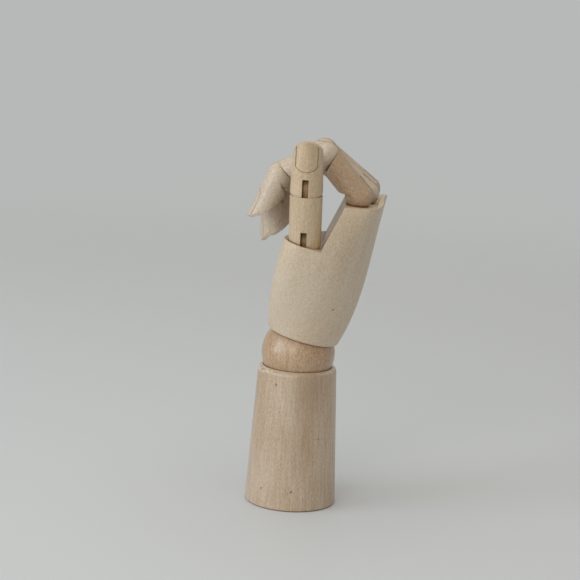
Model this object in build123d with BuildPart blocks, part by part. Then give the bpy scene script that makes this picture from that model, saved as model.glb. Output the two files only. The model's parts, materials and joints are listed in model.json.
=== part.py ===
from build123d import *
import math
import os

# Wooden hand mannequin, a right hand standing on its forearm, in millimetres.
# The origin is the middle of the forearm's foot, +Z is up, +X is the back of the hand
# and -Y is the thumb's side. Every piece is modelled in the pose that the hand is shown in.

# Forearm
foot_diameter = 60.0
forearm_top_diameter = 51.2
forearm_height = 91.7
forearm_top_round = 3.1
foot_chamfer = 0.8

# Wrist ball and the cups that hold it
ball_diameter = 48.0
ball_rise = 8.5
cup_clearance = 0.3
wrist_lean = 13.3
twist_bore_radius = 6.8
ball_flare_radius = 11.2
ball_flare_depth = 12.0
bend_back = 16.0
bend_forward = 32.0

# Draw rod, spring, nut and eyes inside the wrist
rod_diameter = 4.0
rod_clearance = 0.15
eye_wire = 2.0
eye_gap = 0.5
rod_eye_radius = 4.0
palm_eye_radius = 4.0
shank_diameter = 3.0
shank_depth = 30.0
shank_slot_clearance = 0.7
pocket_diameter = 19.0
pocket_depth = 40.0
plug_height = 4.6
plug_recess = 0.3
rod_end_gap = 1.5
nut_across_flats = 7.0
nut_height = 3.2
nut_rise = 10.4
washer_diameter = 16.0
washer_thickness = 1.2
spring_wire = 1.4
spring_diameter = 13.0
spring_turns = 6

# Palm, measured from the ball's middle along the palm's own axis
palm_rim_height = 12.0
palm_rim_radius = 23.6
palm_rim_forward = 0.85
palm_rim_round = 2.5
palm_back = 26.9
palm_heel_height = 27.0
palm_heel_back = 26.0
palm_heel_front = 26.1
palm_heel_front_across = -16.0
palm_heel_hollow = 20.8
palm_heel_hollow_across = 10.0
palm_heel_thumb_side = 31.2
palm_heel_thumb_side_back = -3.5
palm_heel_little_side = 28.6
palm_heel_little_side_back = 1.2
ledge_height = 77.7
thenar_front = 28.1
thenar_front_across = -39.0
thenar_side = 55.0
thenar_side_back = -13.0
palm_back_across = 2.0
palm_little_side = 36.5
palm_little_side_back = 7.0
palm_hollow = 12.0
palm_hollow_across = 6.0
palm_top_back = 23.9
palm_top_side_back = 11.0
palm_top_front = 28.0
palm_top_front_thumb_side = -22.0
palm_top_front_little_side = 8.0
palm_front_lean = 12.0
palm_front_turn = 2.6
palm_front = 3.6
lip_height = 106.7
lip_slope = 10.5
back_lip_height = 114.8
back_lip_side_height = 110.0
back_lip_thickness = 5.0
knuckle_side_wall = 1.6

# Finger joints
finger_pitch = 18.0
knuckle_swell = 0.3
knuckle_clearance = 0.06
rim_land = 0.05
rim_tilt = 20.0
relief_angle = 50.0
slot_width = 3.9
slot_overrun = 0.8
knuckle_slot_overrun = 2.9
tongue_thickness = 3.4
tongue_margin = 2.3
tongue_half_most = 6.3
tongue_root = 9.0
tongue_fit = 0.04
hinge_pin_diameter = 2.4
anchor_pin_diameter = 2.0
anchor_depth = 4.5
running_clearance = 0.05
press_clearance = 0.01
pin_cover = 2.6
pin_recess = 0.35
thumb_pin_recess = 3.4

# Finger tips and nails
tip_taper = 0.9
tip_offset = 5.0
pad_start = 0.42
pad_bulge = 1.2
nail_share = 0.62
nail_bow = 0.45
nail_width_share = 0.76
nail_groove_width = 0.45
nail_groove_depth = 0.32

# Each finger: the knuckle's place in the palm (towards the back, along the palm), the lengths
# from hinge to hinge, the radii at the three hinges, and how far each joint is curled.
fingers = {
    "index": {
        "knuckle": (8.6, 114.7),
        "lengths": (32.4, 32.0, 32.5),
        "radii": (8.7, 8.5, 8.2),
        "curl": (55.8, 73.7, 41.0),
    },
    "middle": {
        "knuckle": (11.4, 115.0),
        "lengths": (38.0, 38.2, 33.0),
        "radii": (8.7, 8.5, 8.2),
        "curl": (66.5, 77.4, 52.1),
    },
    "ring": {
        "knuckle": (11.0, 115.2),
        "lengths": (36.5, 34.0, 32.0),
        "radii": (8.6, 8.4, 8.0),
        "curl": (65.5, 89.0, 31.0),
    },
    "little": {
        "knuckle": (8.4, 113.0),
        "lengths": (28.5, 26.0, 27.0),
        "radii": (7.8, 7.5, 7.2),
        "curl": (63.0, 76.0, 36.0),
    },
}

# Thumb: its hinge stands just above the ledge
thumb_radii = (10.1, 10.2)
thumb_lengths = (35.5, 30.3)
thumb_seat = 2.6
thumb_across = -42.7
thumb_forward = 15.2
thumb_out = 15.0
thumb_curl = (0.0, 8.0)
thumb_swing_out = 16.0
thumb_rim_tilt = 12.0

# Values worked out from the sizes above
ball_radius = ball_diameter / 2
wrist_height = forearm_height + ball_rise
cup_radius = ball_radius + cup_clearance
rod_radius = rod_diameter / 2
big = 200.0
finger_names = list(fingers)

palm_axis = Vector(math.sin(math.radians(wrist_lean)), 0, math.cos(math.radians(wrist_lean)))
palm_back_way = Vector(math.cos(math.radians(wrist_lean)), 0, -math.sin(math.radians(wrist_lean)))
palm_plane = Plane(origin=(0, 0, wrist_height), x_dir=palm_back_way, z_dir=palm_axis)

# How full the curves of each palm outline are, from the back round by the thumb's side
rim_corner_angles = (0, 90, 135, 205, 270)
rim_fullness = (0.39, 0.35, 0.366, 0.36, 0.39)
heel_fullness = (0.42, 0.4, 0.36, 0.36, 0.42)
ledge_fullness = (0.44, 0.4, 0.36, 0.36, 0.5)
top_fullness = (0.5, 0.46, 0.33, 0.46, 0.5)
to_back = (1, 0)
to_front = (-1, 0)
to_thumb_side = (0, -1)
to_little_side = (0, 1)
across_heel_hollow = (0.3, 0.95)
across_hollow = (0.1, 0.995)


def side_of(plane):
    """The plane to draw a side view on: across is towards the back, up is along the segment."""
    return Plane(origin=plane.origin, x_dir=plane.y_dir, z_dir=plane.x_dir)


def back_of(plane):
    """The plane to draw a view from the back on: across is along the hinge, up is along the segment."""
    return Plane(origin=plane.origin, x_dir=plane.x_dir, z_dir=-plane.y_dir)


def hinge_of(plane):
    """A plane square to the hinge, to draw round pins and bores on."""
    return Plane(origin=plane.origin, x_dir=plane.z_dir, z_dir=plane.x_dir)


def curled(plane, angle):
    """The plane turned about its own hinge, towards the palm."""
    turn = math.radians(angle)
    axis = plane.z_dir * math.cos(turn) - plane.y_dir * math.sin(turn)
    return Plane(origin=plane.origin, x_dir=plane.x_dir, z_dir=axis)


def knuckle_radius(radius):
    return radius + knuckle_swell


def tongue_half(radius):
    return min(radius - tongue_margin, tongue_half_most)


def anchor_plane(root, radius):
    """The place of the pin that holds a tongue's root, below the cup."""
    return root.offset(-knuckle_radius(radius) - anchor_depth)


def finish(part, name):
    part.label = name
    export_step(part, f"parts/{name}.step")


def segment_half(plane, base_radius, far_radius, length, inset=0.0):
    """Half of a turned segment: a round base end about its hinge and a straight taper to its far end."""
    round_end = knuckle_radius(base_radius) - inset
    base = base_radius - inset
    edge = math.sqrt(round_end**2 - base**2)
    middle = math.atan2(edge, base) / 2 + math.pi / 4
    with BuildSketch(side_of(plane)) as half:
        with BuildLine():
            ThreePointArc(
                (0, -round_end),
                (round_end * math.cos(middle), -round_end * math.sin(middle)),
                (base, -edge),
            )
            Polyline((base, -edge), (far_radius - inset, length), (0, length), (0, -round_end))
        make_face()
    return half.sketch


def relief_cutter(plane, radius):
    """What is cut away at the front of a segment's base end, down to its round end, so that it can curl."""
    with BuildPart() as relief:
        with BuildSketch(side_of(plane)):
            with BuildLine():
                Polyline(
                    (0, 0),
                    (-big, 0),
                    (-big, big * math.tan(math.radians(relief_angle))),
                    close=True,
                )
            make_face()
        extrude(amount=big, both=True)
        with Locations(plane):
            Sphere(knuckle_radius(radius), mode=Mode.SUBTRACT)
    return relief.part


def cut_base_end(plane, radius, overrun):
    """The relief, the slot for the tongue and the bore for the hinge pin, in the segment being built."""
    add(relief_cutter(plane, radius), mode=Mode.SUBTRACT)
    with Locations(plane.offset(tongue_half(radius) + overrun)):
        Box(
            slot_width,
            4 * radius,
            4 * radius,
            align=(Align.CENTER, Align.CENTER, Align.MAX),
            mode=Mode.SUBTRACT,
        )
    with BuildSketch(hinge_of(plane).offset(-2 * radius)) as bore:
        Circle(hinge_pin_diameter / 2 + press_clearance)
    extrude(bore.sketch, amount=3 * radius - pin_cover + press_clearance, mode=Mode.SUBTRACT)


def cut_mortise(root, radius):
    """The pocket for a tongue's root, in the part being built."""
    depth = knuckle_radius(radius) + tongue_root
    with BuildSketch(side_of(root)) as mouth:
        with Locations((0, -depth / 2)):
            Rectangle(2 * (tongue_half(radius) + tongue_fit), depth + 2 * tongue_fit)
    extrude(mouth.sketch, amount=tongue_thickness / 2 + tongue_fit, both=True, mode=Mode.SUBTRACT)


def cut_far_end(root, radius, outer_radius, tilt):
    """The tilted rim, the cup, the mortise and the anchor pin's bore at a segment's far end."""
    cup = knuckle_radius(radius) + knuckle_clearance
    drop = math.sqrt(cup**2 - radius**2) + rim_land
    slope = math.tan(math.radians(tilt))
    with BuildSketch(side_of(root)) as beyond_rim:
        with BuildLine():
            Polyline(
                (2 * radius, slope * radius - drop),
                (2 * radius, 2 * radius),
                (-2 * radius, 2 * radius),
                (-2 * radius, -3 * slope * radius - drop),
                close=True,
            )
        make_face()
    extrude(beyond_rim.sketch, amount=2 * radius, both=True, mode=Mode.SUBTRACT)
    with Locations(root):
        Sphere(cup, mode=Mode.SUBTRACT)
    cut_mortise(root, radius)
    with BuildSketch(hinge_of(anchor_plane(root, radius)).offset(-2 * outer_radius)) as bore:
        Circle(anchor_pin_diameter / 2 + press_clearance)
    bore_length = 2 * outer_radius + radius - pin_cover + press_clearance
    extrude(bore.sketch, amount=bore_length, mode=Mode.SUBTRACT)


def draw_pin(plane, radius, pin_diameter):
    """A pin along a hinge: just under the surface on one side, covered by wood on the other."""
    with BuildSketch(hinge_of(plane).offset(pin_recess - radius)) as end:
        Circle(pin_diameter / 2)
    extrude(end.sketch, amount=2 * radius - pin_recess - pin_cover)


def tongue(root, radius, anchor):
    """A flat hardwood tongue: round about the hinge, with its root in the mortise below."""
    depth = knuckle_radius(radius) + tongue_root
    with BuildPart() as strip:
        with BuildSketch(side_of(root)):
            Circle(tongue_half(radius))
            with Locations((0, -depth / 2)):
                Rectangle(2 * tongue_half(radius), depth)
        extrude(amount=tongue_thickness / 2, both=True)
        with BuildSketch(hinge_of(root)):
            Circle(hinge_pin_diameter / 2 + running_clearance)
        extrude(amount=tongue_thickness, both=True, mode=Mode.SUBTRACT)
        with BuildSketch(hinge_of(anchor)):
            Circle(anchor_pin_diameter / 2 + press_clearance)
        extrude(amount=tongue_thickness, both=True, mode=Mode.SUBTRACT)
    return strip.part


def long_segment(plane, base_radius, far_radius, length, overrun, tilt):
    """A proximal or middle segment, with a hinge at both ends."""
    with BuildPart() as segment:
        revolve(
            profiles=segment_half(plane, base_radius, far_radius, length),
            axis=Axis(plane.origin, plane.z_dir),
        )
        cut_base_end(plane, base_radius, overrun)
        cut_far_end(plane.offset(length), far_radius, base_radius, tilt)
    return segment.part


def nail_outline(plane, half_width, bottom, top):
    """A nail: straight sides, a bowed bottom, open at the tip."""
    shoulder = bottom + half_width * nail_bow
    with BuildSketch(back_of(plane)) as outline:
        with BuildLine():
            ThreePointArc((-half_width, shoulder), (0, bottom), (half_width, shoulder))
            Polyline((half_width, shoulder), (half_width, top), (-half_width, top), (-half_width, shoulder))
        make_face()
    return outline.sketch


def nail_groove(plane, radius, tip_radius, length):
    """The groove round a nail, cut to an even depth into the back of a tip."""
    half_width = nail_width_share * tip_radius
    bottom = length * (1 - nail_share)
    inside = half_width - nail_groove_width
    with BuildPart() as groove:
        extrude(nail_outline(plane, half_width, bottom, length + radius), amount=-2 * radius)
        extrude(
            nail_outline(plane, inside, bottom + nail_groove_width, length + 2 * radius),
            amount=-2 * radius,
            mode=Mode.SUBTRACT,
        )
        revolve(
            profiles=segment_half(plane, radius, tip_radius, length, nail_groove_depth),
            axis=Axis(plane.origin, plane.z_dir),
            mode=Mode.SUBTRACT,
        )
    return groove.part


def tip_segment(plane, radius, length):
    """A distal segment: the pad is cut in one curve up to the tip, and the tip is round from the back."""
    tip_radius = radius * tip_taper
    pad_bottom = length * pad_start
    with BuildPart() as segment:
        revolve(
            profiles=segment_half(plane, radius, tip_radius, length),
            axis=Axis(plane.origin, plane.z_dir),
        )
        with BuildSketch(side_of(plane)) as side_view:
            with BuildLine():
                pad_middle = ((tip_offset - radius) / 2 - pad_bulge, (length + pad_bottom) / 2 + pad_bulge)
                ThreePointArc((tip_offset, length), pad_middle, (-radius, pad_bottom))
                Polyline(
                    (-radius, pad_bottom),
                    (-2 * radius, pad_bottom - radius),
                    (-2 * radius, -2 * radius),
                    (2 * radius, -2 * radius),
                    (2 * radius, length),
                    (tip_offset, length),
                )
            make_face()
        extrude(amount=2 * radius, both=True, mode=Mode.INTERSECT)
        with BuildSketch(back_of(plane)):
            with Locations((0, length - tip_radius)):
                Circle(tip_radius)
            with Locations((0, length - tip_radius)):
                Rectangle(4 * radius, 3 * length, align=(Align.CENTER, Align.MAX))
        extrude(amount=2 * radius, both=True, mode=Mode.INTERSECT)
        cut_base_end(plane, radius, slot_overrun)
        add(nail_groove(plane, radius, tip_radius, length), mode=Mode.SUBTRACT)
    return segment.part


def pins(plane, base_radius, far_radius, length):
    """The hinge pin at a segment's base and, if it has one, the anchor pin near its far end."""
    with BuildPart() as both_pins:
        draw_pin(plane, base_radius, hinge_pin_diameter)
        if far_radius:
            anchor = anchor_plane(plane.offset(length), far_radius)
            draw_pin(anchor, far_radius, anchor_pin_diameter)
    return both_pins.part


def build_digit(digit, segment_names, lengths, radii, curl, tilt):
    """All segments, tongues and pins of one finger or the thumb, from its root outwards."""
    root = root_planes[digit]
    anchor = thumb_pin_plane if digit == "thumb" else knuckle_rod_tongue_plane(root)
    finish(tongue(root, radii[0], anchor), f"{digit}_knuckle_tongue")
    last = len(segment_names) - 1
    for order, segment_name in enumerate(segment_names):
        plane = curled(root, curl[order])
        name = f"{digit}_{segment_name}"
        if order == last:
            finish(tip_segment(plane, radii[order], lengths[order]), name)
            finish(pins(plane, radii[order], None, lengths[order]), f"{name}_pin")
        else:
            far_radius = radii[order + 1]
            overrun = slot_overrun if order else knuckle_slot_overrun
            root = plane.offset(lengths[order])
            finish(long_segment(plane, radii[order], far_radius, lengths[order], overrun, tilt), name)
            finish(pins(plane, radii[order], far_radius, lengths[order]), f"{name}_pins")
            finish(tongue(root, far_radius, anchor_plane(root, far_radius)), f"{name}_tongue")


os.makedirs("parts", exist_ok=True)

# Places of the hinges


def finger_across(order):
    return (order - (len(finger_names) - 1) / 2) * finger_pitch


root_planes = {}
for order, finger in enumerate(finger_names):
    back, along = fingers[finger]["knuckle"]
    spot = palm_plane.from_local_coords((back, finger_across(order), along))
    root_planes[finger] = Plane(origin=spot, x_dir=(0, -1, 0), z_dir=palm_axis)

thumb_spot = palm_plane.from_local_coords((-thumb_forward, thumb_across, ledge_height + thumb_seat))
thumb_axis = (0, -math.sin(math.radians(thumb_out)), math.cos(math.radians(thumb_out)))
root_planes["thumb"] = Plane(origin=thumb_spot, x_dir=(-1, 0, 0), z_dir=thumb_axis)

root_radii = {finger: fingers[finger]["radii"][0] for finger in finger_names}
root_radii["thumb"] = thumb_radii[0]

# Forearm: a turned, tapered block with a cup on top, a bore for the draw rod
# and a pocket in the foot for the spring
with BuildPart() as forearm:
    with BuildSketch(Plane.XZ) as forearm_half:
        with BuildLine():
            Polyline(
                (0, 0),
                (foot_diameter / 2, 0),
                (forearm_top_diameter / 2, forearm_height),
                (0, forearm_height),
                close=True,
            )
        make_face()
        fillet(forearm_half.vertices().group_by(Axis.Y)[-1].sort_by(Axis.X)[-1], forearm_top_round)
        chamfer(forearm_half.vertices().group_by(Axis.Y)[0].sort_by(Axis.X)[-1], foot_chamfer)
    revolve(axis=Axis.Z)
    with Locations((0, 0, wrist_height)):
        Sphere(cup_radius, mode=Mode.SUBTRACT)
    Cylinder(
        rod_radius + rod_clearance,
        wrist_height,
        align=(Align.CENTER, Align.CENTER, Align.MIN),
        mode=Mode.SUBTRACT,
    )
    Cylinder(
        pocket_diameter / 2,
        pocket_depth,
        align=(Align.CENTER, Align.CENTER, Align.MIN),
        mode=Mode.SUBTRACT,
    )
finish(forearm.part, "forearm")

# Plug that closes the pocket, just short of the foot's face
with BuildPart(Plane.XY.offset(plug_recess)) as foot_plug:
    Cylinder(
        pocket_diameter / 2 - press_clearance,
        plug_height,
        align=(Align.CENTER, Align.CENTER, Align.MIN),
    )
finish(foot_plug.part, "foot_plug")

# Draw rod: a steel rod with an eye whose upper wire passes through the ball's middle
rod_bottom = plug_recess + plug_height + rod_end_gap
rod_eye_middle = wrist_height - rod_eye_radius
with BuildPart() as draw_rod:
    with BuildSketch(Plane.XY.offset(rod_bottom)):
        Circle(rod_radius)
    extrude(amount=rod_eye_middle - rod_eye_radius - rod_bottom)
    with Locations(Plane(origin=(0, 0, rod_eye_middle), z_dir=(1, 0, 0))):
        Torus(rod_eye_radius, eye_wire / 2)
finish(draw_rod.part, "draw_rod")

# Nut and washer that hold the spring on the rod
with BuildPart() as rod_nut:
    with BuildSketch(Plane.XY.offset(nut_rise)):
        RegularPolygon(nut_across_flats / 2, 6, major_radius=False)
        Circle(rod_radius + press_clearance, mode=Mode.SUBTRACT)
    extrude(amount=nut_height)
finish(rod_nut.part, "rod_nut")

washer_bottom = nut_rise + nut_height
washer_top = washer_bottom + washer_thickness
with BuildPart() as spring_washer:
    with BuildSketch(Plane.XY.offset(washer_bottom)):
        Circle(washer_diameter / 2)
        Circle(rod_radius + rod_clearance, mode=Mode.SUBTRACT)
    extrude(amount=washer_thickness)
finish(spring_washer.part, "spring_washer")

# Compression spring between the washer and the top of the pocket: each quarter turn of
# the coil is a pair of arcs that share a tangent
coil_radius = spring_diameter / 2
coil_start = washer_top + spring_wire / 2 + press_clearance
coil_end = pocket_depth - spring_wire / 2 - press_clearance
coil_rise = coil_end - coil_start
quarters = spring_turns * 4


def coil_point(quarter):
    turn = quarter * math.pi / 2
    height = coil_start + coil_rise * quarter / quarters
    return Vector(coil_radius * math.cos(turn), coil_radius * math.sin(turn), height)


def coil_heading(quarter):
    turn = quarter * math.pi / 2
    climb = coil_rise / (spring_turns * 2 * math.pi)
    return Vector(-coil_radius * math.sin(turn), coil_radius * math.cos(turn), climb).normalized()


with BuildPart() as wrist_spring:
    with BuildLine() as coil:
        for quarter in range(quarters):
            begin = coil_point(quarter)
            end = coil_point(quarter + 1)
            leave = coil_heading(quarter)
            arrive = coil_heading(quarter + 1)
            gap = end - begin
            both = leave + arrive
            bend = 2 * (1 - leave.dot(arrive))
            reach = (math.sqrt(gap.dot(both) ** 2 + bend * gap.dot(gap)) - gap.dot(both)) / bend
            middle = (begin + leave * reach + end - arrive * reach) * 0.5
            TangentArc(begin, middle, tangent=leave)
            TangentArc(middle, end, tangent=end - arrive * reach - middle)
    with BuildSketch(Plane(origin=coil_point(0), z_dir=coil_heading(0))):
        Circle(spring_wire / 2)
    sweep(path=coil.wires()[0])
finish(wrist_spring.part, "wrist_spring")
print("spring gap between turns", round(coil_rise / spring_turns - spring_wire, 2))

# Wrist ball: bored for the linked eyes, flared below for the rod and slotted above for the shank
with BuildPart() as wrist_ball:
    with Locations((0, 0, wrist_height)):
        Sphere(ball_radius)
        Cylinder(twist_bore_radius, 2 * ball_diameter, mode=Mode.SUBTRACT)
    with BuildSketch(Plane.XZ):
        with BuildLine():
            Polyline(
                (0, wrist_height - ball_radius - ball_rise),
                (ball_flare_radius, wrist_height - ball_radius - ball_rise),
                (ball_flare_radius, wrist_height - ball_radius),
                (twist_bore_radius, wrist_height - ball_radius + ball_flare_depth),
                (0, wrist_height - ball_radius + ball_flare_depth),
                close=True,
            )
        make_face()
    revolve(axis=Axis.Z, mode=Mode.SUBTRACT)
    slot_spread = math.degrees(math.atan2(shank_diameter / 2 + shank_slot_clearance, twist_bore_radius))
    back_edge = math.radians(wrist_lean + bend_back + slot_spread / 2)
    front_edge = math.radians(wrist_lean - bend_forward - slot_spread / 2)
    with BuildSketch(Plane.XZ):
        with BuildLine():
            Polyline(
                (0, wrist_height),
                (ball_diameter * math.sin(back_edge), wrist_height + ball_diameter * math.cos(back_edge)),
                (ball_diameter * math.sin(front_edge), wrist_height + ball_diameter * math.cos(front_edge)),
                close=True,
            )
        make_face()
    extrude(amount=shank_diameter / 2 + shank_slot_clearance, both=True, mode=Mode.SUBTRACT)
finish(wrist_ball.part, "wrist_ball")

# Screw eye in the palm, hooked under the rod's eye
palm_eye_middle = palm_eye_radius - eye_wire - eye_gap
shank_bottom = palm_eye_middle + palm_eye_radius
shank_length = cup_radius + shank_depth - shank_bottom
with BuildPart() as palm_eye:
    with BuildSketch(palm_plane.offset(shank_bottom)):
        Circle(shank_diameter / 2)
    extrude(amount=shank_length)
    with Locations(Plane(origin=palm_plane.offset(palm_eye_middle).origin, z_dir=(0, 1, 0))):
        Torus(palm_eye_radius, eye_wire / 2)
finish(palm_eye.part, "palm_eye")

# Palm: lofted from the round rim on the ball to the row of knuckles
outer_finger = finger_names[0]
knuckle_row_half = -finger_across(0) + knuckle_radius(root_radii[outer_finger]) + knuckle_side_wall


def rim_corner(angle):
    """A point of the round rim and the heading there, going from the back towards the thumb's side."""
    turn = math.radians(angle)
    spot = (palm_rim_radius * math.cos(turn) - palm_rim_forward, -palm_rim_radius * math.sin(turn))
    return spot, (-math.sin(turn), -math.cos(turn))


def palm_outline(level, corners, fullness):
    """A closed outline across the palm: smooth curves between five corners, each with its heading."""
    with BuildSketch(palm_plane.offset(level)) as outline:
        with BuildLine():
            for step, full in enumerate(fullness):
                (begin, leave), (end, arrive) = corners[step], corners[(step + 1) % len(corners)]
                begin, leave, end, arrive = Vector(*begin), Vector(*leave), Vector(*end), Vector(*arrive)
                reach = full * (end - begin).length
                Bezier(begin, begin + leave * reach, end - arrive * reach, end)
        make_face()
    return outline.sketch


rim_outline = palm_outline(
    palm_rim_height,
    [rim_corner(angle) for angle in rim_corner_angles],
    rim_fullness,
)
heel_outline = palm_outline(
    palm_heel_height,
    [
        ((palm_heel_back, 0), to_thumb_side),
        ((palm_heel_thumb_side_back, -palm_heel_thumb_side), to_front),
        ((-palm_heel_front, palm_heel_front_across), to_little_side),
        ((-palm_heel_hollow, palm_heel_hollow_across), across_heel_hollow),
        ((palm_heel_little_side_back, palm_heel_little_side), to_back),
    ],
    heel_fullness,
)
ledge_outline = palm_outline(
    ledge_height,
    [
        ((palm_back, palm_back_across), to_thumb_side),
        ((thenar_side_back, -thenar_side), to_front),
        ((-thenar_front, thenar_front_across), to_little_side),
        ((-palm_hollow, palm_hollow_across), across_hollow),
        ((palm_little_side_back, palm_little_side), to_back),
    ],
    ledge_fullness,
)
top_outline = palm_outline(
    back_lip_height,
    [
        ((palm_top_back, 0), to_thumb_side),
        ((palm_top_side_back, -knuckle_row_half), to_front),
        ((-palm_top_front, palm_top_front_thumb_side), to_little_side),
        ((-palm_top_front, palm_top_front_little_side), to_little_side),
        ((palm_top_side_back, knuckle_row_half), to_back),
    ],
    top_fullness,
)

thumb_wall_spot = palm_plane.from_local_coords((-palm_front, thumb_across, ledge_height))
wall_turn = math.radians(palm_front_turn)
wall_x = palm_plane.x_dir * math.cos(wall_turn) + palm_plane.y_dir * math.sin(wall_turn)
wall_normal = palm_plane.y_dir * math.cos(wall_turn) - palm_plane.x_dir * math.sin(wall_turn)
thumb_wall = Plane(origin=thumb_wall_spot, x_dir=wall_x, z_dir=-wall_normal)
palm_side = Plane(origin=palm_plane.origin, x_dir=palm_plane.x_dir, z_dir=-palm_plane.y_dir)
palm_face = Plane(origin=palm_plane.origin, x_dir=palm_plane.y_dir, z_dir=palm_plane.x_dir)

rod_across_back = sum(fingers[finger]["knuckle"][0] for finger in finger_names) / len(finger_names)
rod_across_height = (
    min(fingers[finger]["knuckle"][1] for finger in finger_names)
    - max(knuckle_radius(root_radii[finger]) for finger in finger_names)
    - anchor_depth
)
knuckle_rod_plane = Plane(
    origin=palm_plane.from_local_coords((rod_across_back, palm_little_side, rod_across_height)),
    z_dir=-palm_plane.y_dir,
)


def knuckle_rod_tongue_plane(root):
    """The rod's place in one finger's tongue, turned as the finger's root is."""
    spot = palm_plane.from_local_coords(
        (rod_across_back, palm_plane.to_local_coords(root.origin).Y, rod_across_height)
    )
    return Plane(origin=spot, x_dir=root.x_dir, z_dir=root.z_dir)


thumb_pin_plane = anchor_plane(root_planes["thumb"], root_radii["thumb"])
thumb_pin_length = thenar_front - thumb_forward + tongue_thickness / 2 + pin_cover - thumb_pin_recess

knuckle_rod_length = palm_little_side - pin_recess - finger_across(0) + tongue_thickness / 2 + pin_cover

with BuildPart() as palm:
    loft(sections=[rim_outline, heel_outline, ledge_outline, top_outline])
    fillet(palm.faces().sort_by(Axis(palm_plane.origin, palm_axis))[0].edges(), palm_rim_round)
    with Locations(palm_plane):
        Sphere(cup_radius, mode=Mode.SUBTRACT)
    with BuildSketch(palm_plane):
        Circle(shank_diameter / 2 + press_clearance)
    extrude(amount=cup_radius + shank_depth, mode=Mode.SUBTRACT)
    with BuildSketch(thumb_wall):
        with BuildLine():
            Polyline(
                (0, 0),
                (back_lip_height * math.tan(math.radians(palm_front_lean)), back_lip_height),
                (-big, back_lip_height),
                (-big, 0),
                close=True,
            )
        make_face()
    extrude(amount=big, both=True, mode=Mode.SUBTRACT)
    lip_inside = palm_back - back_lip_thickness
    with BuildSketch(palm_side):
        with BuildLine():
            Polyline(
                (-big, lip_height),
                (0, lip_height),
                (lip_inside, lip_height + lip_inside * math.tan(math.radians(lip_slope))),
                (lip_inside, big),
                (-big, big),
                close=True,
            )
        make_face()
    extrude(amount=big, both=True, mode=Mode.SUBTRACT)
    with BuildSketch(palm_face):
        with BuildLine():
            ThreePointArc(
                (-knuckle_row_half, back_lip_side_height),
                (0, back_lip_height),
                (knuckle_row_half, back_lip_side_height),
            )
            Polyline(
                (knuckle_row_half, back_lip_side_height),
                (big, back_lip_side_height),
                (big, big),
                (-big, big),
                (-big, back_lip_side_height),
                (-knuckle_row_half, back_lip_side_height),
            )
        make_face()
    extrude(amount=big, both=True, mode=Mode.SUBTRACT)
    for digit, root in root_planes.items():
        radius = root_radii[digit]
        with Locations(root):
            Sphere(knuckle_radius(radius) + knuckle_clearance, mode=Mode.SUBTRACT)
        cut_mortise(root, radius)
    # Room at the edge of the ledge for the thumb to swing out
    for swing in (thumb_swing_out / 2, thumb_swing_out):
        with BuildSketch(curled(root_planes["thumb"], -swing)):
            Circle(knuckle_radius(thumb_radii[0]))
        extrude(amount=thumb_lengths[0], mode=Mode.SUBTRACT)
    with BuildSketch(knuckle_rod_plane.offset(-big)):
        Circle(anchor_pin_diameter / 2 + press_clearance)
    extrude(amount=big + pin_recess + knuckle_rod_length + press_clearance, mode=Mode.SUBTRACT)
    with BuildSketch(hinge_of(thumb_pin_plane).offset(-tongue_thickness / 2 - pin_cover)):
        Circle(anchor_pin_diameter / 2 + press_clearance)
    extrude(amount=thumb_pin_length + press_clearance, mode=Mode.SUBTRACT)
finish(palm.part, "palm")

# Rod across the palm that holds the roots of the four finger tongues, from the little finger's side
with BuildPart() as knuckle_rod:
    with BuildSketch(knuckle_rod_plane.offset(pin_recess)):
        Circle(anchor_pin_diameter / 2)
    extrude(amount=knuckle_rod_length)
finish(knuckle_rod.part, "knuckle_rod")

# Pin that holds the thumb's tongue, driven in from the front of the palm, where its hole is plugged
with BuildPart() as thumb_root_pin:
    with BuildSketch(hinge_of(thumb_pin_plane).offset(-tongue_thickness / 2 - pin_cover)):
        Circle(anchor_pin_diameter / 2)
    extrude(amount=thumb_pin_length)
finish(thumb_root_pin.part, "thumb_root_pin")


for finger, sizes in fingers.items():
    build_digit(
        finger,
        ("proximal", "middle", "distal"),
        sizes["lengths"],
        sizes["radii"],
        sizes["curl"],
        rim_tilt,
    )
build_digit(
    "thumb",
    ("proximal", "distal"),
    thumb_lengths,
    thumb_radii,
    thumb_curl,
    thumb_rim_tilt,
)
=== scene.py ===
"""Looks of the jointed wooden hand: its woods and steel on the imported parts, and a plain stage."""

import json
import math

import bmesh
import bpy
from bpy.props import FloatProperty, FloatVectorProperty, PointerProperty
from mathutils import Matrix, Vector

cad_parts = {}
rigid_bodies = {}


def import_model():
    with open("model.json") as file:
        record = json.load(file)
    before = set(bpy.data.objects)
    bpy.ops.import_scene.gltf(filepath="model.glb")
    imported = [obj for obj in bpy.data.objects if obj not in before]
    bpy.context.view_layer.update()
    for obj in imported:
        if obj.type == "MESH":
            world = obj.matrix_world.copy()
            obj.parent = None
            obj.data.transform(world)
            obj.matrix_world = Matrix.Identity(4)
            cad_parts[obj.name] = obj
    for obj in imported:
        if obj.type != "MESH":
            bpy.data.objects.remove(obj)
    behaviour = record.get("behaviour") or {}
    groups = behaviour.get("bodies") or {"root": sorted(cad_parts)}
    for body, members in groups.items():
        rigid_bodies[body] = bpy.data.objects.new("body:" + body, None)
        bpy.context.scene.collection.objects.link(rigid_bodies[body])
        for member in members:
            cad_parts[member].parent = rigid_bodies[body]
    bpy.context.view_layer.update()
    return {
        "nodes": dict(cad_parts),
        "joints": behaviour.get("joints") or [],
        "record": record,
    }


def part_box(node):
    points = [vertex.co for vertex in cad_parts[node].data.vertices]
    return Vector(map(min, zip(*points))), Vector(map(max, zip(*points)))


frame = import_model()

bl_info = {
    "name": "Wooden hand",
    "version": (1, 0, 0),
    "blender": (4, 5, 0),
    "location": "View3D > Sidebar > Wooden hand",
    "description": "Finishes the pieces of a jointed wooden hand and sets its stage",
    "category": "Object",
}

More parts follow.
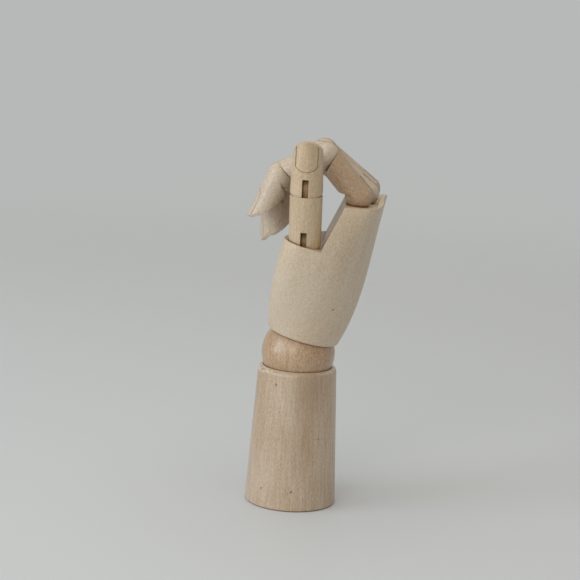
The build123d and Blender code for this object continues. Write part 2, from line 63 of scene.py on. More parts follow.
FINGERS = ("index", "middle", "ring", "little")
FINGER_SEGMENTS = ("proximal", "middle", "distal")
THUMB_SEGMENTS = ("proximal", "distal")
WRIST_STEEL = ("draw_rod", "rod_nut", "spring_washer", "wrist_spring", "palm_eye")
UP = Vector((0, 0, 1))
MIDDLE_VALUE = (0.5, 0.5, 0.5)
# Board numbers: each gives another cut of the tree
FOREARM_BOARD = 1
PLUG_BOARD = 2
BALL_BOARD = 3
PALM_BOARD = 4
FIRST_THUMB_BOARD = 5
FIRST_FINGER_BOARD = 8
FIRST_TONGUE_BOARD = 24
BOARD_STEP = (0.173, -0.173, 0.346)
GOLDEN_TURN = math.radians(137.5)
# Patterns of the wood: how each is stretched along the grain, and which of its values show
SWAY_STRETCH = (1, 1, 0.4)
SWAY_SCALE = 45
SWAY_REACH = (0.004, 0.004, 0)
RING_STRETCH = (1, 1, 0.06)
RING_RISE = (0.15, 0.88)
RING_END = (0.9, 1)
FIBRE_BAND = (0.32, 0.7)
HAIR_SCALE = 3.1
PORE_BAND = (0.6, 0.74)
CLOUD_STRETCH = (1, 1, 0.3)
CLOUD_BAND = (0.36, 0.64)
SPECKLE_STRETCH = (1, 1, 0.22)
DOT_BAND = (0.5, 0.6)
GLINT_BAND = (0.4, 0.5)
# Worn edges, painted shade in the seams, and what each pattern does to the gloss and the relief
EDGE_BAND = (0.02, 0.3)
EDGE_WEAR = 0.45
# The crevice band and strength set the painted shade beside gaps and hollows
CREVICE_BAND = (0.2, 0.85)
CREVICE_PAINTED_SHADE = 0.75
FIBRE_ROUGHNESS = 0.08
PORE_ROUGHNESS = 0.1
EDGE_ROUGHNESS = -0.1
COAT_ROUGHNESS = 0.24
HAIR_RELIEF = 0.5
FIBRE_RELIEF = 0.6
PORE_RELIEF = 0.8
SPECKLE_RELIEF = 0.6
BUMP_STRENGTH = 0.35
BUMP_DEPTH = 0.00012
# Fine marks in the steel
STEEL_SCALE = 2500
STEEL_BAND = (0.35, 0.7)
STEEL_SHADE = 0.7
STEEL_ROUGHNESS = 0.22
STEEL_ROUGHNESS_SPREAD = 0.25
# Finger segments cut from a browner board, and by how much; on the index's proximal segment the
# browner tone is partly painted shade, where the thumb shades it
BROWNER_AND_SHADED_BOARDS = {"index_proximal": 0.8, "ring_proximal": 0.3, "little_middle": 0.3}
# Small dark knots on the forearm, and a chip at its rim: place and size in metres
FOREARM_SPECKS = (
    ((-0.0111, -0.0236, 0.0827), 0.0014),
    ((-0.0170, -0.0240, 0.0129), 0.0013),
    ((0.0032, -0.0292, 0.0136), 0.0012),
    ((0.0180, -0.0210, 0.0483), 0.0009),
    ((-0.0218, -0.0135, 0.0907), 0.0014),
    ((-0.0203, -0.0157, 0.0907), 0.0012),
)
PALM_SPECKS = (((0.0233, -0.0320, 0.1366), 0.0011),)
SPECK_RAGGED_SCALE = 700
SPECK_RAGGED_REACH = (0.0018, 0.0018, 0.0018)
SPECK_CORE = 0.4
SPECK_STRENGTH = 0.75
# Browner patches of the forearm: place, size in metres and strength
STAINS = (
    ((0.0112, -0.0236, 0.0810), 0.019, 0.5),
    ((0.0043, -0.0273, 0.0440), 0.017, 0.25),
)
STAIN_STRETCH = (1, 1, 0.6)
# The pale rim of the forearm, partly wear and partly a painted highlight: broad at the lit left,
# narrower at the right, and a thin line at the lip
RIM_LEFT = (-0.022, -0.010)
RIM_RIGHT = (0.010, 0.024)
RIM_LEFT_REACH = 0.0034
RIM_RIGHT_REACH = 0.0016
RIM_WOBBLE_SCALE = 260
RIM_WOBBLE_REACH = 0.0044
BREAK_SCALE = 480
BREAK_BAND = (0.36, 0.56)
RIM_BAND_RISE = (0.0014, 0.0028)
LIP_DEPTH = (0.0005, 0.0001)
LIP_WEAR_AND_HIGHLIGHT = 0.8
RIM_WEAR_AND_HIGHLIGHT = 0.85
# Floor and backdrop, in metres
FLOOR_HALF_WIDTH = 3.0
FLOOR_FRONT = -2.6
BEND_START = 1.1
BEND_RADIUS = 0.6
BEND_STEPS = 16
BACKDROP_TOP = 2.6
BACKDROP_FADE = (0.2, 1.7)
SURROUND_FADE = (0.5, 1.5)
FLOOR_ROUGHNESS = 0.45
FLOOR_GLOSS = 0.15
# Lamps: place and size in metres
LAMP_AIM = (0, 0, 0.13)
KEY_PLACE, KEY_SIZE = (-1.5, -0.8, 0.6), 1.2
FRONT_PLACE, FRONT_SIZE = (-0.5, -1.9, 0.9), 1.4
OVERHEAD_PLACE, OVERHEAD_SIZE = (0, -0.1, 1.6), 2.0
SENSOR_WIDTH = 36


def linear(red, green, blue):
    """A colour given as it looks on a screen, 0 to 255, as Blender's linear values."""
    shares = (red / 255, green / 255, blue / 255)
    return tuple(s / 12.92 if s <= 0.04045 else ((s + 0.055) / 1.055) ** 2.4 for s in shares)


def colour(name, description, shown):
    return FloatVectorProperty(
        name=name,
        description=description,
        subtype="COLOR",
        size=3,
        min=0,
        max=1,
        default=linear(*shown),
    )


def length(name, description, default):
    return FloatProperty(
        name=name, description=description, unit="LENGTH", min=0, precision=5, default=default
    )


def share(name, description, default):
    return FloatProperty(
        name=name, description=description, subtype="FACTOR", min=0, max=1, default=default
    )


def power(name, description, default):
    return FloatProperty(name=name, description=description, unit="POWER", default=default)


def angle(name, description, degrees):
    return FloatProperty(
        name=name, description=description, unit="ROTATION", default=math.radians(degrees)
    )


class WoodTones(bpy.types.PropertyGroup):
    """The three tones of each wood: the pale ground, the warm clouds in it and its dark lines."""

    forearm_pale: colour("Forearm, pale", "Ground tone of the turned forearm", (205, 188, 167))
    forearm_warm: colour("Forearm, warm", "Clouds in the forearm's wood", (186, 159, 129))
    forearm_dark: colour("Forearm, dark", "Grain lines of the forearm", (152, 121, 90))
    # The rim tone is partly wear and partly a painted highlight on the rounded top edge
    forearm_rim: colour("Forearm rim", "Where the finish is worn off the top edge", (214, 201, 184))
    ball_pale: colour("Ball, pale", "Ground tone of the wrist ball", (206, 179, 149))
    ball_warm: colour("Ball, warm", "Clouds in the ball's wood", (190, 156, 120))
    ball_dark: colour("Ball, dark", "Grain lines of the ball", (144, 111, 78))
    palm_pale: colour("Palm, pale", "Ground tone of the palm", (219, 205, 185))
    palm_warm: colour("Palm, warm", "Clouds in the palm's wood", (207, 187, 160))
    palm_dark: colour("Palm, dark", "Grain lines of the palm", (168, 139, 107))
    thumb_pale: colour("Thumb, pale", "Ground tone of the thumb", (217, 197, 168))
    thumb_warm: colour("Thumb, warm", "Clouds in the thumb's wood", (202, 179, 149))
    thumb_dark: colour("Thumb, dark", "Grain lines of the thumb", (165, 139, 108))
    finger_pale: colour("Fingers, pale", "Ground tone of the four fingers", (213, 201, 186))
    finger_warm: colour("Fingers, warm", "Clouds in the fingers' wood", (203, 187, 166))
    # The tan tone also serves as painted shade on the index's proximal segment
    finger_tan_and_shade: colour("Fingers, tan", "Clouds in the browner boards", (180, 151, 120))
    finger_dark: colour("Fingers, dark", "Grain lines of the fingers", (154, 127, 98))
    tongue_pale: colour("Tongues, pale", "Ground tone of the hardwood tongues", (205, 175, 138))
    tongue_warm: colour("Tongues, warm", "Clouds in the tongues' wood", (192, 157, 118))
    tongue_dark: colour("Tongues, dark", "Grain lines of the tongues", (146, 110, 76))
    speck: colour("Specks", "Small dark knots and chips", (112, 76, 52))
    steel: colour("Steel", "Pins and wrist hardware", (172, 170, 166))


class GrainSizes(bpy.types.PropertyGroup):
    """How large the marks in the wood are."""

    ring_spacing: length("Ring spacing", "From one growth ring to the next", 0.0034)
    heart_distance: length("Heart distance", "From the middle of the tree to the piece", 0.055)
    fibre_width: length("Fibre width", "Width of the streaks along the grain", 0.0012)
    fibre_length: length("Fibre length", "Length of the streaks along the grain", 0.045)
    pore_width: length("Pore width", "Width of the short dark flecks", 0.0003)
    pore_length: length("Pore length", "Length of the short dark flecks", 0.0022)
    cloud_size: length("Cloud size", "Size of the pale and warm patches", 0.030)
    speckle_size: length("Speckle size", "Size of the fine mottling", 0.00042)
    edge_round: length("Edge rounding", "How far the edges are sanded round", 0.0005)
    # Crevice reach: how far the painted shade beside a gap reaches
    crevice_reach: length("Crevice reach", "How far dust darkens the wood beside a gap", 0.0025)


class StageLooks(bpy.types.PropertyGroup):
    """The floor, the light and the camera's place."""

    floor: colour("Floor", "Colour of the pale floor", (217, 223, 231))
    backdrop: colour("Backdrop", "Colour of the backdrop, behind the floor", (226, 230, 234))
    surround: colour("Surround", "What the floor fades into, far from the hand", (183, 185, 184))
    sky: share("Sky light", "Strength of the even light from all round", 0.34)
    cool: colour("Window light", "Colour of the lamp at the left", (240, 248, 255))
    soft_warm: colour("Room light", "Colour of the even light and the other lamps", (255, 247, 232))
    key: power("Key light", "Power of the large lamp at the left", 11.6)
    front: power("Front light", "Power of the lamp by the camera", 9.0)
    overhead: power("Overhead light", "Power of the lamp above", 9.0)
    camera_distance: length("Camera distance", "From hand to camera, along the floor", 1.1689)
    camera_height: length("Camera height", "Height of the camera above the floor", 0.3707)
    camera_turn: angle("Camera turn", "Towards the back of the hand", 5.0)
    camera_aim: angle("Camera aim", "Sideways aim of the camera", -0.38)
    camera_pitch: angle("Camera pitch", "How far the camera looks down", 11.11)
    camera_roll: angle("Camera roll", "How far the camera is tilted", 3.32)
    lens: FloatProperty(name="Lens", description="Focal length for a 36 mm sensor", default=113.56)


# Nodes


def add_node(tree, kind, inputs=None, **settings):
    """A new node with its settings, and inputs set to values or linked to other nodes' outputs."""
    node = tree.nodes.new(kind)
    for name, value in settings.items():
        setattr(node, name, value)
    for socket, value in (inputs or {}).items():
        if isinstance(value, bpy.types.NodeSocket):
            tree.links.new(value, node.inputs[socket])
        else:
            node.inputs[socket].default_value = value
    return node


def maths(tree, operation, *values, clamp=False):
    return add_node(
        tree, "ShaderNodeMath", dict(enumerate(values)), operation=operation, use_clamp=clamp
    ).outputs[0]


def vector_maths(tree, operation, *values):
    return add_node(
        tree, "ShaderNodeVectorMath", dict(enumerate(values)), operation=operation
    ).outputs[0]


def measure(tree, operation, *vectors):
    """A vector operation that gives one value, such as a length."""
    return add_node(
        tree, "ShaderNodeVectorMath", dict(enumerate(vectors)), operation=operation
    ).outputs["Value"]


def inverse(tree, value):
    """One less the value."""
    return maths(tree, "SUBTRACT", 1, value)


def between(tree, value, low, high):
    """0 below low, 1 above high, and a soft step in between."""
    inputs = {"Value": value, "From Min": low, "From Max": high}
    node = add_node(tree, "ShaderNodeMapRange", inputs, interpolation_type="SMOOTHSTEP")
    return node.outputs["Result"]


def blend_colours(tree, amount, one, two, blend_type="MIX"):
    node = add_node(tree, "ShaderNodeMix", {0: amount}, data_type="RGBA", blend_type=blend_type)
    for socket, value in ((6, one), (7, two)):
        if isinstance(value, bpy.types.NodeSocket):
            tree.links.new(value, node.inputs[socket])
        else:
            node.inputs[socket].default_value = (*value, 1)
    return node.outputs[2]


def noise(tree, vector, scale, detail=2.0, roughness=0.5):
    inputs = {"Vector": vector, "Scale": scale, "Detail": detail, "Roughness": roughness}
    return add_node(tree, "ShaderNodeTexNoise", inputs)


def new_material(name):
    material = bpy.data.materials.new(name)
    material.use_nodes = True
    tree = material.node_tree
    tree.nodes.clear()
    return material, tree


# Wood


def grain_of(body):
    """Where a body's piece of wood starts and the way that its grain runs."""
    joints = frame["joints"]
    own = [joint for joint in joints if joint["child"] == body]
    if body in ("forearm", "wrist_ball") or not own:
        return Vector((0, 0, 0)), UP
    start = Vector(own[0]["pos_m"])
    ends = [Vector(joint["pos_m"]) for joint in joints if joint["parent"] == body]
    if not ends:
        ends = [vertex.co.copy() for vertex in frame["nodes"][body].data.vertices]
    return start, (sum(ends, Vector()) / len(ends) - start).normalized()


def wood_material(
    name, body, board, pale, warm, dark, *,
    rings=0.3, fibres=0.4, pores=0.35, speckle=0.2, clouds=0.6, tan_and_shade=0.0,
    roughness=0.5, gloss=0.6, coat=0.0, marks=None,
):
    """Sanded wood whose grain runs along a body, cut from the tree at a place of its own."""
    sizes = bpy.context.scene.hand_grain
    start, axis = grain_of(body)
    material, tree = new_material(name)
    place = add_node(tree, "ShaderNodeTexCoord").outputs["Object"]
    turn = UP.rotation_difference(axis).to_euler()
    inputs = {"Vector": place, "Location": start, "Rotation": turn}
    along = add_node(tree, "ShaderNodeMapping", inputs, vector_type="TEXTURE").outputs[0]
    board_spot = tuple(step * board for step in BOARD_STEP)
    cut = vector_maths(tree, "ADD", along, board_spot)

    sway = vector_maths(tree, "MULTIPLY", cut, SWAY_STRETCH)
    sway = noise(tree, sway, SWAY_SCALE).outputs["Color"]
    sway = vector_maths(tree, "SUBTRACT", sway, MIDDLE_VALUE)
    sway = vector_maths(tree, "MULTIPLY", sway, SWAY_REACH)

    heart_turn = GOLDEN_TURN * board
    heart = Vector((math.cos(heart_turn), math.sin(heart_turn), 0)) * sizes.heart_distance
    from_heart = vector_maths(tree, "SUBTRACT", along, heart)
    from_heart = vector_maths(tree, "MULTIPLY", from_heart, RING_STRETCH)
    radius = measure(tree, "LENGTH", vector_maths(tree, "ADD", from_heart, sway))
    growth = maths(tree, "FRACT", maths(tree, "DIVIDE", radius, sizes.ring_spacing))
    ring_end = inverse(tree, between(tree, growth, *RING_END))
    late_wood = maths(tree, "MULTIPLY", between(tree, growth, *RING_RISE), ring_end)

    slender = (1 / sizes.fibre_width, 1 / sizes.fibre_width, 1 / sizes.fibre_length)
    threads = vector_maths(tree, "MULTIPLY", cut, slender)
    fibre = noise(tree, threads, 1, detail=4, roughness=0.6).outputs["Fac"]
    fibre = between(tree, fibre, *FIBRE_BAND)
    hair = noise(tree, threads, HAIR_SCALE).outputs["Fac"]
    dash = (1 / sizes.pore_width, 1 / sizes.pore_width, 1 / sizes.pore_length)
    pore = noise(tree, vector_maths(tree, "MULTIPLY", cut, dash), 1, detail=1).outputs["Fac"]
    pore = between(tree, pore, *PORE_BAND)
    cloud = vector_maths(tree, "MULTIPLY", cut, CLOUD_STRETCH)
    cloud = noise(tree, cloud, 1 / sizes.cloud_size, detail=4, roughness=0.6).outputs["Fac"]
    cloud = between(tree, cloud, *CLOUD_BAND)
    mottle = vector_maths(tree, "MULTIPLY", cut, SPECKLE_STRETCH)
    mottle = noise(tree, mottle, 1 / sizes.speckle_size, roughness=0.6).outputs["Fac"]
    dots = between(tree, mottle, *DOT_BAND)
    glints = inverse(tree, between(tree, mottle, *GLINT_BAND))

    # The tan share turns a whole piece towards the warm tone; on the index's proximal segment it is
    # partly painted shade
    warmth = maths(tree, "MULTIPLY_ADD", cloud, clouds, tan_and_shade, clamp=True)
    shade = blend_colours(tree, warmth, pale, warm)
    shade = blend_colours(tree, maths(tree, "MULTIPLY", late_wood, rings), shade, dark)
    shade = blend_colours(tree, maths(tree, "MULTIPLY", fibre, fibres), shade, dark)
    shade = blend_colours(tree, maths(tree, "MULTIPLY", pore, pores), shade, dark)
    shade = blend_colours(tree, maths(tree, "MULTIPLY", dots, speckle), shade, dark)
    shade = blend_colours(tree, maths(tree, "MULTIPLY", glints, speckle), shade, pale)

    rounded = add_node(tree, "ShaderNodeBevel", {"Radius": sizes.edge_round}, samples=4).outputs[0]
    flat = add_node(tree, "ShaderNodeNewGeometry").outputs["Normal"]
    facing = measure(tree, "DOT_PRODUCT", rounded, flat)
    worn_edge = between(tree, inverse(tree, facing), *EDGE_BAND)
    shade = blend_colours(tree, maths(tree, "MULTIPLY", worn_edge, EDGE_WEAR), shade, pale)
    if marks:
        shade = marks(tree, place, shade)
    # Painted shade: an ambient occlusion node darkens the wood beside gaps and hollows and between
    # the pieces, where shade falls
    reach = {"Distance": sizes.crevice_reach}
    crevice = add_node(tree, "ShaderNodeAmbientOcclusion", reach, samples=8).outputs["AO"]
    painted_shade = inverse(tree, between(tree, crevice, *CREVICE_BAND))
    painted_shade = maths(tree, "MULTIPLY", painted_shade, CREVICE_PAINTED_SHADE)
    shade = blend_colours(tree, painted_shade, shade, dark, "MULTIPLY")

    rough = maths(tree, "MULTIPLY_ADD", fibre, FIBRE_ROUGHNESS, roughness - FIBRE_ROUGHNESS / 2)
    rough = maths(tree, "MULTIPLY_ADD", pore, PORE_ROUGHNESS, rough)
    rough = maths(tree, "MULTIPLY_ADD", worn_edge, EDGE_ROUGHNESS, rough, clamp=True)
    relief = maths(tree, "MULTIPLY", fibre, FIBRE_RELIEF)
    relief = maths(tree, "MULTIPLY_ADD", hair, HAIR_RELIEF, relief)
    relief = maths(tree, "SUBTRACT", relief, maths(tree, "MULTIPLY", pore, PORE_RELIEF))
    relief = maths(tree, "MULTIPLY_ADD", mottle, SPECKLE_RELIEF, relief)
    bump = {"Height": relief, "Strength": BUMP_STRENGTH, "Distance": BUMP_DEPTH, "Normal": rounded}
    normal = add_node(tree, "ShaderNodeBump", bump).outputs[0]
    surface = add_node(
        tree,
        "ShaderNodeBsdfPrincipled",
        {
            "Base Color": shade,
            "Roughness": rough,
            "Specular IOR Level": gloss,
            "Coat Weight": coat,
            "Coat Roughness": COAT_ROUGHNESS,
            "Normal": normal,
        },
    )
    add_node(tree, "ShaderNodeOutputMaterial", {"Surface": surface.outputs[0]})
    return material


def steel_material(name):
    """Drawn steel: fine marks in its gloss."""
    tones = bpy.context.scene.hand_tones
    material, tree = new_material(name)
    place = add_node(tree, "ShaderNodeTexCoord").outputs["Object"]
    marks = noise(tree, place, STEEL_SCALE, detail=3).outputs["Fac"]
    dull = tuple(part * STEEL_SHADE for part in tones.steel)
    shade = blend_colours(tree, between(tree, marks, *STEEL_BAND), tones.steel, dull)
    rough = maths(tree, "MULTIPLY_ADD", marks, STEEL_ROUGHNESS_SPREAD, STEEL_ROUGHNESS)
    inputs = {"Base Color": shade, "Roughness": rough, "Metallic": 1.0}
    surface = add_node(tree, "ShaderNodeBsdfPrincipled", inputs)
    add_node(tree, "ShaderNodeOutputMaterial", {"Surface": surface.outputs[0]})
    return material


def dress(node, material):
    """Gives a CAD node its material, in every slot that it has."""
    mesh = frame["nodes"][node].data
    if not mesh.materials:
        mesh.materials.append(material)
    for slot in range(len(mesh.materials)):
        mesh.materials[slot] = material


def add_specks(tree, place, shade, specks, tone):
    """Small dark marks of a ragged outline."""
    wobble = noise(tree, place, SPECK_RAGGED_SCALE, detail=3).outputs["Color"]
    wobble = vector_maths(tree, "SUBTRACT", wobble, MIDDLE_VALUE)
    wobble = vector_maths(tree, "MULTIPLY", wobble, SPECK_RAGGED_REACH)
    ragged = vector_maths(tree, "ADD", place, wobble)
    for spot, size in specks:
        away = measure(tree, "DISTANCE", ragged, spot)
        mark = inverse(tree, between(tree, away, size * SPECK_CORE, size))
        shade = blend_colours(tree, maths(tree, "MULTIPLY", mark, SPECK_STRENGTH), shade, tone)
    return shade


# Pieces


class WOODENHAND_OT_finish_forearm(bpy.types.Operator):
    """Finishes the turned forearm and the plug in its foot"""

    bl_idname = "wooden_hand.finish_forearm"
    bl_label = "Finish the forearm"

    def execute(self, context):
        tones = context.scene.hand_tones

        def rim_wear_highlight_and_specks(tree, place, shade):
            for spot, size, strength in STAINS:
                away = vector_maths(tree, "SUBTRACT", place, spot)
                away = measure(tree, "LENGTH", vector_maths(tree, "MULTIPLY", away, STAIN_STRETCH))
                stain = inverse(tree, between(tree, away, 0, size))
                stain = maths(tree, "MULTIPLY", stain, strength)
                shade = blend_colours(tree, stain, shade, tones.forearm_dark)
            # Pale rim band, partly wear and partly a painted highlight on the rounded top edge:
            # broader on the lit left, narrower on the right, with a thin line at the lip
            spread = add_node(tree, "ShaderNodeSeparateXYZ", {0: place}).outputs
            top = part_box("forearm")[1].z
            to_left = inverse(tree, between(tree, spread["X"], *RIM_LEFT))
            to_right = between(tree, spread["X"], *RIM_RIGHT)
            reach = maths(tree, "MULTIPLY", to_right, RIM_RIGHT_REACH)
            reach = maths(tree, "MULTIPLY_ADD", to_left, RIM_LEFT_REACH, reach)
            rim_wobble = noise(tree, place, RIM_WOBBLE_SCALE, detail=4, roughness=0.65).outputs["Fac"]
            level = maths(tree, "MULTIPLY_ADD", rim_wobble, RIM_WOBBLE_REACH, spread["Z"])
            level = maths(tree, "ADD", level, reach)
            broken = noise(tree, place, BREAK_SCALE, detail=3, roughness=0.7).outputs["Fac"]
            worn = between(tree, level, *(top + rise for rise in RIM_BAND_RISE))
            worn = maths(tree, "MULTIPLY", worn, between(tree, broken, *BREAK_BAND))
            lip = between(tree, spread["Z"], *(top - depth for depth in LIP_DEPTH))
            worn = maths(tree, "MAXIMUM", worn, maths(tree, "MULTIPLY", lip, LIP_WEAR_AND_HIGHLIGHT))
            worn = maths(tree, "MULTIPLY", worn, RIM_WEAR_AND_HIGHLIGHT)
            shade = blend_colours(tree, worn, shade, tones.forearm_rim)
            return add_specks(tree, place, shade, FOREARM_SPECKS, tones.speck)

        forearm = wood_material(
            "forearm_wood", "forearm", FOREARM_BOARD,
            tones.forearm_pale, tones.forearm_warm, tones.forearm_dark,
            rings=0.05, fibres=0.44, pores=0.3, speckle=0.34, clouds=0.9,
            roughness=0.42, gloss=0.8, coat=0.4,
            marks=rim_wear_highlight_and_specks,
        )
        plug = wood_material(
            "plug_wood", "forearm", PLUG_BOARD,
            tones.forearm_pale, tones.forearm_warm, tones.forearm_dark, rings=0.4,
        )
        dress("forearm", forearm)
        dress("foot_plug", plug)
        return {"FINISHED"}


class WOODENHAND_OT_finish_ball(bpy.types.Operator):
    """Finishes the polished wrist ball"""

    bl_idname = "wooden_hand.finish_ball"
    bl_label = "Finish the wrist ball"

    def execute(self, context):
        tones = context.scene.hand_tones
        ball = wood_material(
            "ball_wood", "wrist_ball", BALL_BOARD,
            tones.ball_pale, tones.ball_warm, tones.ball_dark,
            rings=0.14, fibres=0.5, pores=0.5, speckle=0.55, clouds=0.9,
            roughness=0.36, gloss=0.7, coat=0.55,
        )
        dress("wrist_ball", ball)
        return {"FINISHED"}


class WOODENHAND_OT_finish_palm(bpy.types.Operator):
    """Finishes the carved palm, left matt from sanding"""

    bl_idname = "wooden_hand.finish_palm"
    bl_label = "Finish the palm"

    def execute(self, context):
        tones = context.scene.hand_tones

        def one_speck(tree, place, shade):
            return add_specks(tree, place, shade, PALM_SPECKS, tones.speck)

        palm = wood_material(
            "palm_wood", "palm", PALM_BOARD, tones.palm_pale, tones.palm_warm, tones.palm_dark,
            rings=0.03, fibres=0.2, pores=0.35, speckle=0.4, clouds=0.6, roughness=0.48, gloss=0.8,
            marks=one_speck,
        )
        dress("palm", palm)
        return {"FINISHED"}


class WOODENHAND_OT_finish_thumb(bpy.types.Operator):
    """Finishes the two segments of the thumb"""

    bl_idname = "wooden_hand.finish_thumb"
    bl_label = "Finish the thumb"

    def execute(self, context):
        tones = context.scene.hand_tones
        for order, segment in enumerate(THUMB_SEGMENTS):
            body = f"thumb_{segment}"
            wood = wood_material(
                f"{body}_wood", body, FIRST_THUMB_BOARD + order,
                tones.thumb_pale, tones.thumb_warm, tones.thumb_dark,
                rings=0.1, fibres=0.36, pores=0.25, speckle=0.36, clouds=0.7,
                roughness=0.45, gloss=0.7,
            )
            dress(body, wood)
        return {"FINISHED"}


class WOODENHAND_OT_finish_fingers(bpy.types.Operator):
    """Finishes the three segments of each of the four fingers"""

    bl_idname = "wooden_hand.finish_fingers"
    bl_label = "Finish the fingers"

    def execute(self, context):
        tones = context.scene.hand_tones
        board = FIRST_FINGER_BOARD
        for finger in FINGERS:
            for segment in FINGER_SEGMENTS:
                body = f"{finger}_{segment}"
                # Browner boards; on the index's proximal segment the browner tone is partly painted
                # shade from the thumb
                clouds = tones.finger_tan_and_shade if body in BROWNER_AND_SHADED_BOARDS else tones.finger_warm
                wood = wood_material(
                    f"{body}_wood", body, board, tones.finger_pale, clouds, tones.finger_dark,
                    rings=0.06, fibres=0.3, pores=0.35, speckle=0.34, clouds=0.55,
                    tan_and_shade=BROWNER_AND_SHADED_BOARDS.get(body, 0), roughness=0.45, gloss=0.8,
                )
                dress(body, wood)
                board += 1
        return {"FINISHED"}


class WOODENHAND_OT_finish_tongues(bpy.types.Operator):
    """Finishes the hardwood tongues in the finger and thumb joints"""

    bl_idname = "wooden_hand.finish_tongues"
    bl_label = "Finish the tongues"

    def execute(self, context):
        tones = context.scene.hand_tones
        board = FIRST_TONGUE_BOARD
        for body, nodes in frame["record"]["behaviour"]["bodies"].items():
            tongues = [node for node in nodes if node.endswith("_tongue")]
            if not tongues:
                continue
            wood = wood_material(
                f"{body}_tongue_wood", body, board,
                tones.tongue_pale, tones.tongue_warm, tones.tongue_dark,
                rings=0.4, fibres=0.5, pores=0.4, roughness=0.5,
            )
            board += 1
            for tongue in tongues:
                dress(tongue, wood)
        return {"FINISHED"}


class WOODENHAND_OT_finish_steel(bpy.types.Operator):
    """Finishes the pins in the joints and the hardware in the wrist"""

    bl_idname = "wooden_hand.finish_steel"
    bl_label = "Finish the steel"

    def execute(self, context):
        pins = steel_material("pin_steel")
        hardware = steel_material("wrist_steel")
        for node in frame["nodes"]:
            if node in WRIST_STEEL:
                dress(node, hardware)
            elif node.endswith(("_pin", "_pins", "knuckle_rod")):
                dress(node, pins)
        return {"FINISHED"}


# Stage


def seen_rays(tree):
    """1 for the rays that show what is behind the hand, and 0 for those that only carry light."""
    rays = add_node(tree, "ShaderNodeLightPath").outputs
    seen = maths(tree, "MAXIMUM", rays["Is Camera Ray"], rays["Is Glossy Ray"])
    return maths(tree, "MAXIMUM", seen, rays["Is Transmission Ray"])


def floor_and_backdrop(looks):
    """A pale floor that curves up into a backdrop, in one sheet."""
    profile = [(FLOOR_FRONT, 0.0), (BEND_START, 0.0)]
    for step in range(1, BEND_STEPS + 1):
        turn = math.pi / 2 * step / BEND_STEPS
        along, rise = math.sin(turn), 1 - math.cos(turn)
        profile.append((BEND_START + BEND_RADIUS * along, BEND_RADIUS * rise))
    profile.append((BEND_START + BEND_RADIUS, BACKDROP_TOP))
    sheet = bmesh.new()
    sides = (-FLOOR_HALF_WIDTH, FLOOR_HALF_WIDTH)
    rows = [[sheet.verts.new((side, y, z)) for side in sides] for y, z in profile]
    for (a, b), (c, d) in zip(rows, rows[1:]):
        sheet.faces.new((a, b, d, c)).smooth = True
    mesh = bpy.data.meshes.new("floor")
    sheet.to_mesh(mesh)
    sheet.free()
    floor = bpy.data.objects.new("floor", mesh)
    bpy.context.scene.collection.objects.link(floor)
    material, tree = new_material("floor_paint")
    place = add_node(tree, "ShaderNodeTexCoord").outputs["Object"]
    back = add_node(tree, "ShaderNodeSeparateXYZ", {0: place}).outputs["Y"]
    paint = blend_colours(tree, between(tree, back, *BACKDROP_FADE), looks.floor, looks.backdrop)
    inputs = {"Base Color": paint, "Roughness": FLOOR_ROUGHNESS, "Specular IOR Level": FLOOR_GLOSS}
    near = add_node(tree, "ShaderNodeBsdfPrincipled", inputs).outputs[0]
    away = measure(tree, "LENGTH", place)
    far = maths(tree, "MULTIPLY", between(tree, away, *SURROUND_FADE), seen_rays(tree))
    inputs = {"Color": (*looks.surround, 1), "Strength": 1.0}
    pale = add_node(tree, "ShaderNodeEmission", inputs).outputs[0]
    surface = add_node(tree, "ShaderNodeMixShader", {0: far, 1: near, 2: pale}).outputs[0]
    add_node(tree, "ShaderNodeOutputMaterial", {"Surface": surface})
    mesh.materials.append(material)


def soft_lamp(name, place, size, energy, tint):
    """A large round lamp that faces the hand."""
    lamp = bpy.data.lights.new(name, "AREA")
    lamp.color = tint
    lamp.shape = "DISK"
    lamp.size = size
    lamp.energy = energy
    holder = bpy.data.objects.new(name, lamp)
    holder.location = place
    holder.rotation_euler = (Vector(LAMP_AIM) - Vector(place)).to_track_quat("-Z", "Y").to_euler()
    bpy.context.scene.collection.objects.link(holder)


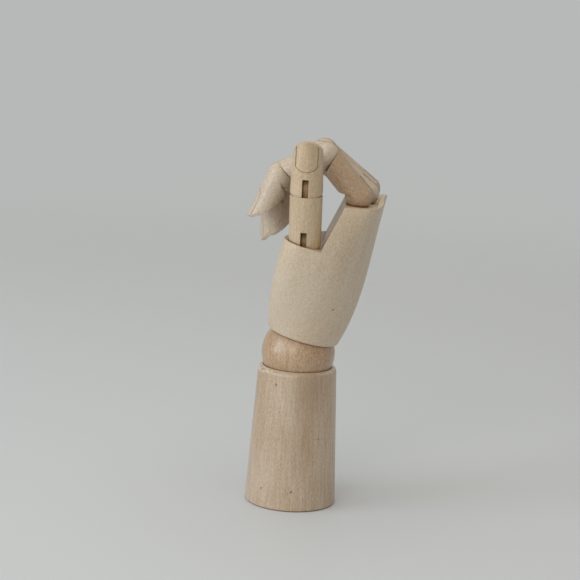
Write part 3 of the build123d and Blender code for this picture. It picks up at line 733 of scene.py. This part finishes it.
class WOODENHAND_OT_set_stage(bpy.types.Operator):
    """Sets the floor, the light and the camera"""

    bl_idname = "wooden_hand.set_stage"
    bl_label = "Set the stage"

    def execute(self, context):
        scene = context.scene
        looks = scene.hand_stage
        scene.view_settings.view_transform = "Standard"
        floor_and_backdrop(looks)
        soft_lamp("key_lamp", KEY_PLACE, KEY_SIZE, looks.key, looks.cool)
        soft_lamp("front_lamp", FRONT_PLACE, FRONT_SIZE, looks.front, looks.soft_warm)
        soft_lamp("overhead_lamp", OVERHEAD_PLACE, OVERHEAD_SIZE, looks.overhead, looks.soft_warm)
        world = bpy.data.worlds.new("studio")
        world.use_nodes = True
        tree = world.node_tree
        tree.nodes.clear()
        even = {"Color": (*looks.soft_warm, 1), "Strength": looks.sky}
        even = add_node(tree, "ShaderNodeBackground", even).outputs[0]
        pale = add_node(tree, "ShaderNodeBackground", {"Color": (*looks.surround, 1)}).outputs[0]
        inputs = {0: seen_rays(tree), 1: even, 2: pale}
        light = add_node(tree, "ShaderNodeMixShader", inputs).outputs[0]
        add_node(tree, "ShaderNodeOutputWorld", {"Surface": light})
        scene.world = world

        pitch, aim, roll = looks.camera_pitch, looks.camera_aim, looks.camera_roll
        ahead = Vector((math.sin(aim), math.cos(aim), 0)) * math.cos(pitch)
        ahead.z = -math.sin(pitch)
        right = Vector((math.cos(aim), -math.sin(aim), 0))
        above = right.cross(ahead)
        across = right * math.cos(roll) + above * math.sin(roll)
        upright = above * math.cos(roll) - right * math.sin(roll)
        facing = Matrix((across, upright, -ahead)).transposed().to_4x4()
        spot = Matrix.Translation((0, -looks.camera_distance, looks.camera_height))
        camera = bpy.data.objects.new("camera", bpy.data.cameras.new("camera"))
        camera.data.lens = looks.lens
        camera.data.sensor_width = SENSOR_WIDTH
        camera.matrix_world = Matrix.Rotation(looks.camera_turn, 4, "Z") @ spot @ facing
        scene.collection.objects.link(camera)
        scene.camera = camera
        return {"FINISHED"}


class WOODENHAND_PT_pieces(bpy.types.Panel):
    """Lists the steps that finish the wooden hand"""

    bl_idname = "WOODENHAND_PT_pieces"
    bl_label = "Wooden hand"
    bl_space_type = "VIEW_3D"
    bl_region_type = "UI"
    bl_category = "Wooden hand"

    def draw(self, context):
        layout = self.layout
        for operator in OPERATORS:
            layout.operator(operator.bl_idname)
        for group in (context.scene.hand_tones, context.scene.hand_grain, context.scene.hand_stage):
            column = layout.column()
            for name in group.__annotations__:
                column.prop(group, name)


OPERATORS = (
    WOODENHAND_OT_set_stage,
    WOODENHAND_OT_finish_forearm,
    WOODENHAND_OT_finish_ball,
    WOODENHAND_OT_finish_palm,
    WOODENHAND_OT_finish_thumb,
    WOODENHAND_OT_finish_fingers,
    WOODENHAND_OT_finish_tongues,
    WOODENHAND_OT_finish_steel,
)
CLASSES = (WoodTones, GrainSizes, StageLooks, *OPERATORS, WOODENHAND_PT_pieces)


def register():
    for cls in CLASSES:
        bpy.utils.register_class(cls)
    bpy.types.Scene.hand_tones = PointerProperty(type=WoodTones)
    bpy.types.Scene.hand_grain = PointerProperty(type=GrainSizes)
    bpy.types.Scene.hand_stage = PointerProperty(type=StageLooks)


def unregister():
    del bpy.types.Scene.hand_stage
    del bpy.types.Scene.hand_grain
    del bpy.types.Scene.hand_tones
    for cls in reversed(CLASSES):
        bpy.utils.unregister_class(cls)


def main():
    register()
    bpy.ops.wooden_hand.set_stage()
    bpy.ops.wooden_hand.finish_forearm()
    bpy.ops.wooden_hand.finish_ball()
    bpy.ops.wooden_hand.finish_palm()
    bpy.ops.wooden_hand.finish_thumb()
    bpy.ops.wooden_hand.finish_fingers()
    bpy.ops.wooden_hand.finish_tongues()
    bpy.ops.wooden_hand.finish_steel()


if __name__ == "__main__":
    main()
